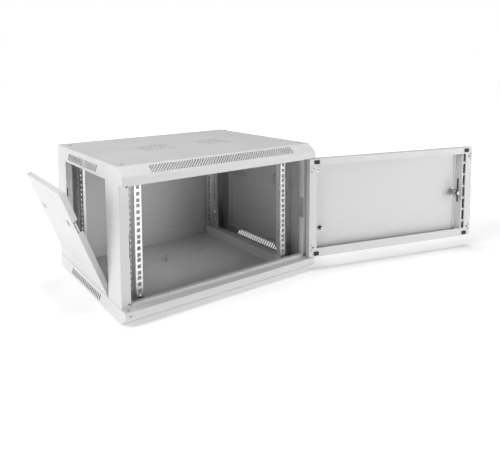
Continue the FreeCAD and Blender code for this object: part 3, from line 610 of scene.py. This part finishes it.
def grow(name, rows, tree, material, seed, sizes):
    piece = bpy.data.objects.new(name, point_cloud(name, rows))
    scene.collection.objects.link(piece)
    maker = piece.modifiers.new("grow", "NODES")
    maker.node_group = tree
    values = dict(sizes, Seed=seed, Finish=material)
    for item in tree.interface.items_tree:
        if item.in_out == "INPUT" and item.name in values:
            maker[item.identifier] = values[item.name]
    depsgraph = bpy.context.evaluated_depsgraph_get()
    plain = bpy.data.meshes.new_from_object(piece.evaluated_get(depsgraph), depsgraph=depsgraph)
    piece.modifiers.clear()
    piece.data = plain
    plain.name = name
    return piece


def settle(piece, body, replaced=()):
    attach(piece, body)
    if replaced:
        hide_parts(*replaced)
    print(piece.name, "faces:", len(piece.data.polygons), "on", body)


# %% [markdown]
# The screws sit where the CAD model has its plain ones. The box of those pieces, less one head radius on
# each side, gives the lines they lie on: two columns and two rows of roof screws, and the same on the
# floor tabs.

# %% Screws of roof and floor
x_axis, y_axis, z_axis = range(3)


def screw_lines(node, axis, head_radius):
    low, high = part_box(node)
    return low[axis] + head_radius, high[axis] - head_radius


roof_head = 0.0055
roof_level = 0.368
tab_level = 0.0027
screw_x = screw_lines("roof_screws", x_axis, roof_head)[1]
corner_places = [(side * screw_x, y) for side in (-1, 1) for y in screw_lines("roof_screws", y_axis, roof_head)]
corner_sizes = {
    "Head Radius": 0.0048, "Head Height": 0.0019, "Washer Radius": 0.0058, "Washer Height": 0.0005,
    "Shank Radius": 0.003, "Shank Length": 0.009,
}
roof_rows = [((x, y, roof_level), (0, 0, 1)) for x, y in corner_places]
roof_screws = grow("roof_cross_screws", roof_rows, pan_head_screws, bolt_zinc, 3, corner_sizes)
settle(roof_screws, "cabinet", ["roof_screws"])
floor_sizes = dict(corner_sizes)
floor_sizes["Shank Length"] = 0.0026
floor_rows = [((x, y, tab_level), (0, 0, 1)) for x, y in corner_places]
floor_screws = grow("floor_cross_screws", floor_rows, pan_head_screws, bolt_zinc, 5, floor_sizes)
settle(floor_screws, "cabinet", ["tray_screws"])

# %% [markdown]
# The back panel has three screws up each side, and the plate over the cable entry has one at each corner.

# %% Screws of back and cable plate
back_head = 0.0046
back_level = 0.225
back_x = screw_lines("back_screws", x_axis, back_head)[1]
back_low, back_high = screw_lines("back_screws", z_axis, back_head)
back_rows = [
    ((side * back_x, back_level, z), (0, 1, 0))
    for side in (-1, 1)
    for z in (back_low, (back_low + back_high) / 2, back_high)
]
back_screws = grow("back_cross_screws", back_rows, pan_head_screws, bolt_zinc, 7, {
    "Head Radius": 0.0042, "Head Height": 0.0018, "Washer Radius": 0.0048, "Washer Height": 0.0004,
    "Shank Radius": 0.0025, "Shank Length": 0.008,
})
settle(back_screws, "cabinet", ["back_screws"])

plate_head = 0.0038
plate_level = 0.0024
plate_x = screw_lines("cable_plate_screws", x_axis, plate_head)[1]
plate_rows = [
    ((side * plate_x, y, plate_level), (0, 0, 1))
    for side in (-1, 1)
    for y in screw_lines("cable_plate_screws", y_axis, plate_head)
]
plate_screws = grow("cable_plate_cross_screws", plate_rows, pan_head_screws, bolt_zinc, 9, {
    "Head Radius": 0.0036, "Head Height": 0.0016, "Washer Radius": 0.0043, "Washer Height": 0.0004,
    "Shank Radius": 0.002, "Shank Length": 0.0023,
})
settle(plate_screws, "cabinet", ["cable_plate_screws"])

# %% [markdown]
# Each rail end is bolted to a small angle, and each angle to its beam: sixteen bolts of one size.
# Their places follow from the rail holes, so they are worked out from a few numbers and mirrored.

# %% Rail bolts
rail_x = 0.23255
rail_faces = {-1: -0.163, 1: 0.213}
foot_rows = {-1: -0.149, 1: 0.199}
face_bolt_heights = (0.03735, 0.32135)
foot_levels = ((0.032, 1), (0.336, -1))
bolt_rows = []
for side in (-1, 1):
    for end in (-1, 1):
        bolt_rows += [((side * rail_x, rail_faces[end], z), (0, end, 0)) for z in face_bolt_heights]
        bolt_rows += [((side * rail_x, foot_rows[end], z), (0, 0, way)) for z, way in foot_levels]
rail_bolts = grow("rail_cross_bolts", bolt_rows, pan_head_screws, bolt_zinc, 11, {
    "Head Radius": 0.0045, "Head Height": 0.002, "Washer Radius": 0.0055, "Washer Height": 0.0006,
    "Shank Radius": 0.003, "Shank Length": 0.009,
})
settle(rail_bolts, "cabinet", ["rail_bolts"])

# %% [markdown]
# Door pieces are laid out with the door shut, where every size is easy to read, and then turned with it.
# The left side panel works the same way: its pieces are laid out upright and then leaned. The right panel
# is shut, so its pieces are a mirror image of the upright ones.

# %% Turn with the door, lean with the panel
door_angle = math.radians(165.3)
hinge_axis = Vector((0.288, -0.215, 0))
panel_angle = math.radians(-22.3)
panel_axis = Vector((-0.298, 0, 0.0401))


def turned_about(axis, turn):
    return Matrix.Translation(axis) @ turn @ Matrix.Translation(-axis)


door_turn = turned_about(hinge_axis, Matrix.Rotation(door_angle, 4, "Z"))
panel_lean = turned_about(panel_axis, Matrix.Rotation(panel_angle, 4, "Y"))
panel_mirror = Matrix.Scale(-1, 4, (1, 0, 0))
print("door open by", round(math.degrees(door_angle), 1), "panel by", round(math.degrees(-panel_angle), 1))

# %% [markdown]
# Threads. The two earth studs and the lock barrel carry a real screw thread. A texture would look flat from
# the side, so a small bead follows a spiral curve round each of them.


# %% Spiral tree
def spiral_tree(name, sides):
    tree, take, give = geometry_tree(name, {"Radius": 0.003, "Ridge": 0.0003, "Pitch": 0.001, "Length": 0.01})
    coil = add(tree, "GeometryNodeCurveSpiral")
    turns = math_node(tree, "DIVIDE", take.outputs["Length"], take.outputs["Pitch"])
    feed(tree, coil, Resolution=20, Rotations=turns, Height=take.outputs["Length"])
    feed(tree, coil, Start_Radius=take.outputs["Radius"], End_Radius=take.outputs["Radius"])
    circle = add(tree, "GeometryNodeCurvePrimitiveCircle")
    bead = feed(tree, circle, Resolution=sides, Radius=take.outputs["Ridge"])
    ridge = add(tree, "GeometryNodeCurveToMesh")
    tree.links.new(coil.outputs["Curve"], ridge.inputs["Curve"])
    tree.links.new(bead.outputs["Curve"], ridge.inputs["Profile Curve"])
    ridge.inputs["Fill Caps"].default_value = True
    set_on_points(tree, take, give, ridge.outputs["Mesh"])
    return tree


screw_threads = spiral_tree("screw threads", sides=4)
print("nodes in the spiral tree:", len(screw_threads.nodes))

# %% Threads
earth_stud_foot = (-0.026, 0.076, 0.0095)
door_stud_foot = (0.249, -0.2168, 0.118936)
barrel_foot = (-0.234, -0.2195, 0.183)
stud_thread = grow("earth_stud_thread", [(earth_stud_foot, (0, 0, 1))], screw_threads, bolt_zinc, 2, {
    "Radius": 0.003, "Ridge": 0.00032, "Pitch": 0.001, "Length": 0.0118,
})
settle(stud_thread, "cabinet")
door_thread = grow("door_stud_thread", [(door_stud_foot, (0, 1, 0))], screw_threads, bolt_zinc, 2, {
    "Radius": 0.003, "Ridge": 0.00032, "Pitch": 0.001, "Length": 0.0055,
})
door_thread.data.transform(door_turn)
settle(door_thread, "door")
barrel_thread = grow("lock_barrel_thread", [(barrel_foot, (0, 1, 0))], screw_threads, lock_chrome, 2, {
    "Radius": 0.0094, "Ridge": 0.0004, "Pitch": 0.0012, "Length": 0.0175,
})
barrel_thread.data.transform(door_turn)
settle(barrel_thread, "door")

# %% [markdown]
# Springs. One presses the upper hinge pin up into the lip of the roof, and one behind each latch pushes it
# out. The spiral makes them too, with a rounder wire. A stiff coil would run into the piece that is pulled
# against it; each coil here is made to the length of the CAD spring it stands for, on a mesh of its own, and
# rides on the parent body of its joint. The record of the model lists them and gives the axis each lies along.

# %% Springs
spring_coils = spiral_tree("spring coils", sides=8)
spring_wires = {"pin_spring": (0.00045, 7)}
latch_wire = (0.0003, 8)
axes = {"y": Vector((0, 1, 0)), "z": Vector((0, 0, 1))}


def spring(joint, row):
    node = row["node"]
    way = row["mode"][-1]
    axis = axes[way]
    wire, turns = spring_wires.get(node, latch_wire)
    low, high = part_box(node)
    middle = (low + high) / 2
    length = (high - low).dot(axis)
    run = length - 2 * wire
    coil = grow(node + "_coil", [(middle - axis * run / 2, axis)], spring_coils, bolt_zinc, 1, {
        "Radius": (high.x - low.x) / 2 - wire, "Ridge": wire, "Pitch": run / turns, "Length": run,
    })
    settle(coil, joint["parent"], [node])
    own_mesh(coil)


for joint in frame["record"]["behaviour"]["joints"]:
    for row in joint.get("deforming_nodes", ()):
        spring(joint, row)

# %% [markdown]
# Rounded blocks. The rubber bumpers in the door corners and the grip ribs on the latches are soft-edged
# little blocks. A cube with eight points along each edge is stretched so that all its rows lie near the
# corners, and every point is then pushed onto a ball of the corner radius. A few lines of vector maths do
# what a bevel would do by hand.


# %% Rounded block tree
def vector_node(tree, operation, *values):
    node = add(tree, "ShaderNodeVectorMath", operation=operation)
    for socket, value in zip(node.inputs, values):
        feed_socket(tree, socket, value)
    return node.outputs["Vector"]


def block_tree(rows):
    tree, take, give = geometry_tree("rounded blocks", {
        "Long": 0.016, "Wide": 0.011, "Thick": 0.003, "Corner": 0.0012,
    })
    cube = add(tree, "GeometryNodeMeshCube")
    feed(tree, cube, Size=(2, 2, 2), Vertices_X=rows, Vertices_Y=rows, Vertices_Z=rows)
    spot = add(tree, "GeometryNodeInputPosition").outputs["Position"]
    side = vector_node(tree, "SIGN", spot)
    step = (rows - 1) / (rows - 2)
    near = vector_node(tree, "MULTIPLY_ADD", vector_node(tree, "ABSOLUTE", spot), (step,) * 3, (1 - step,) * 3)
    size = combine(tree, take.outputs["Long"], take.outputs["Wide"], take.outputs["Thick"])
    radius = combine(tree, *[take.outputs["Corner"]] * 3)
    core = vector_node(tree, "SUBTRACT", vector_node(tree, "MULTIPLY", size, (0.5,) * 3), radius)
    ball = vector_node(tree, "NORMALIZE", vector_node(tree, "MULTIPLY", side, near))
    flat = vector_node(tree, "MULTIPLY", side, core)
    placed = vector_node(tree, "ADD", flat, vector_node(tree, "MULTIPLY", ball, radius))
    move = add(tree, "GeometryNodeSetPosition")
    tree.links.new(cube.outputs["Mesh"], move.inputs["Geometry"])
    tree.links.new(placed, move.inputs["Position"])
    copies = add(tree, "GeometryNodeInstanceOnPoints")
    tree.links.new(take.outputs["Points"], copies.inputs["Points"])
    tree.links.new(move.outputs["Geometry"], copies.inputs["Instance"])
    dress(tree, take, give, copies)
    return tree


rounded_blocks = block_tree(rows=8)
print("nodes in the block tree:", len(rounded_blocks.nodes))

# %% [markdown]
# The four bumpers stand on the inside of the door, one near each corner, and meet the posts when the door
# is shut.

# %% Rubber bumpers
bumper_x = 0.272
bumper_heights = (0.0495, 0.3165)
bumper_level = -0.205
bumper_thick = 0.0027
bumper_rows = [
    ((side * bumper_x, bumper_level + bumper_thick / 2, z), (0, 0, 1)) for side in (-1, 1) for z in bumper_heights
]
bumpers = grow("door_rubber_bumpers", bumper_rows, rounded_blocks, black_rubber, 1, {
    "Long": 0.016, "Wide": bumper_thick, "Thick": 0.011, "Corner": 0.0011,
})
bumpers.data.transform(door_turn)
settle(bumpers, "door", ["door_bumpers"])

# %% [markdown]
# A finger pulls each latch back by the ribs on its pad. Two ribs stand on each of the four pads. A mirrored
# mesh is inside out, so the ribs of the right panel have their faces flipped back.

# %% Latch ribs
pad_middle_y = {"front": -0.0825, "rear": 0.1173}
pad_face = -0.2996
rib_pitch = 0.0018
latch_height = 0.237441
for side, move in (("left", panel_lean), ("right", panel_mirror)):
    for end, y in pad_middle_y.items():
        rib_rows = [((pad_face, y + (i - 0.5) * rib_pitch, latch_height), (0, 0, 1)) for i in range(2)]
        ribs = grow(side + "_" + end + "_latch_ribs", rib_rows, rounded_blocks, grey_nylon, 1, {
            "Long": 0.0008, "Wide": 0.001, "Thick": 0.011, "Corner": 0.00035,
        })
        ribs.data.transform(move)
        if side == "right":
            ribs.data.flip_normals()
        settle(ribs, side + "_" + end + "_bolt")
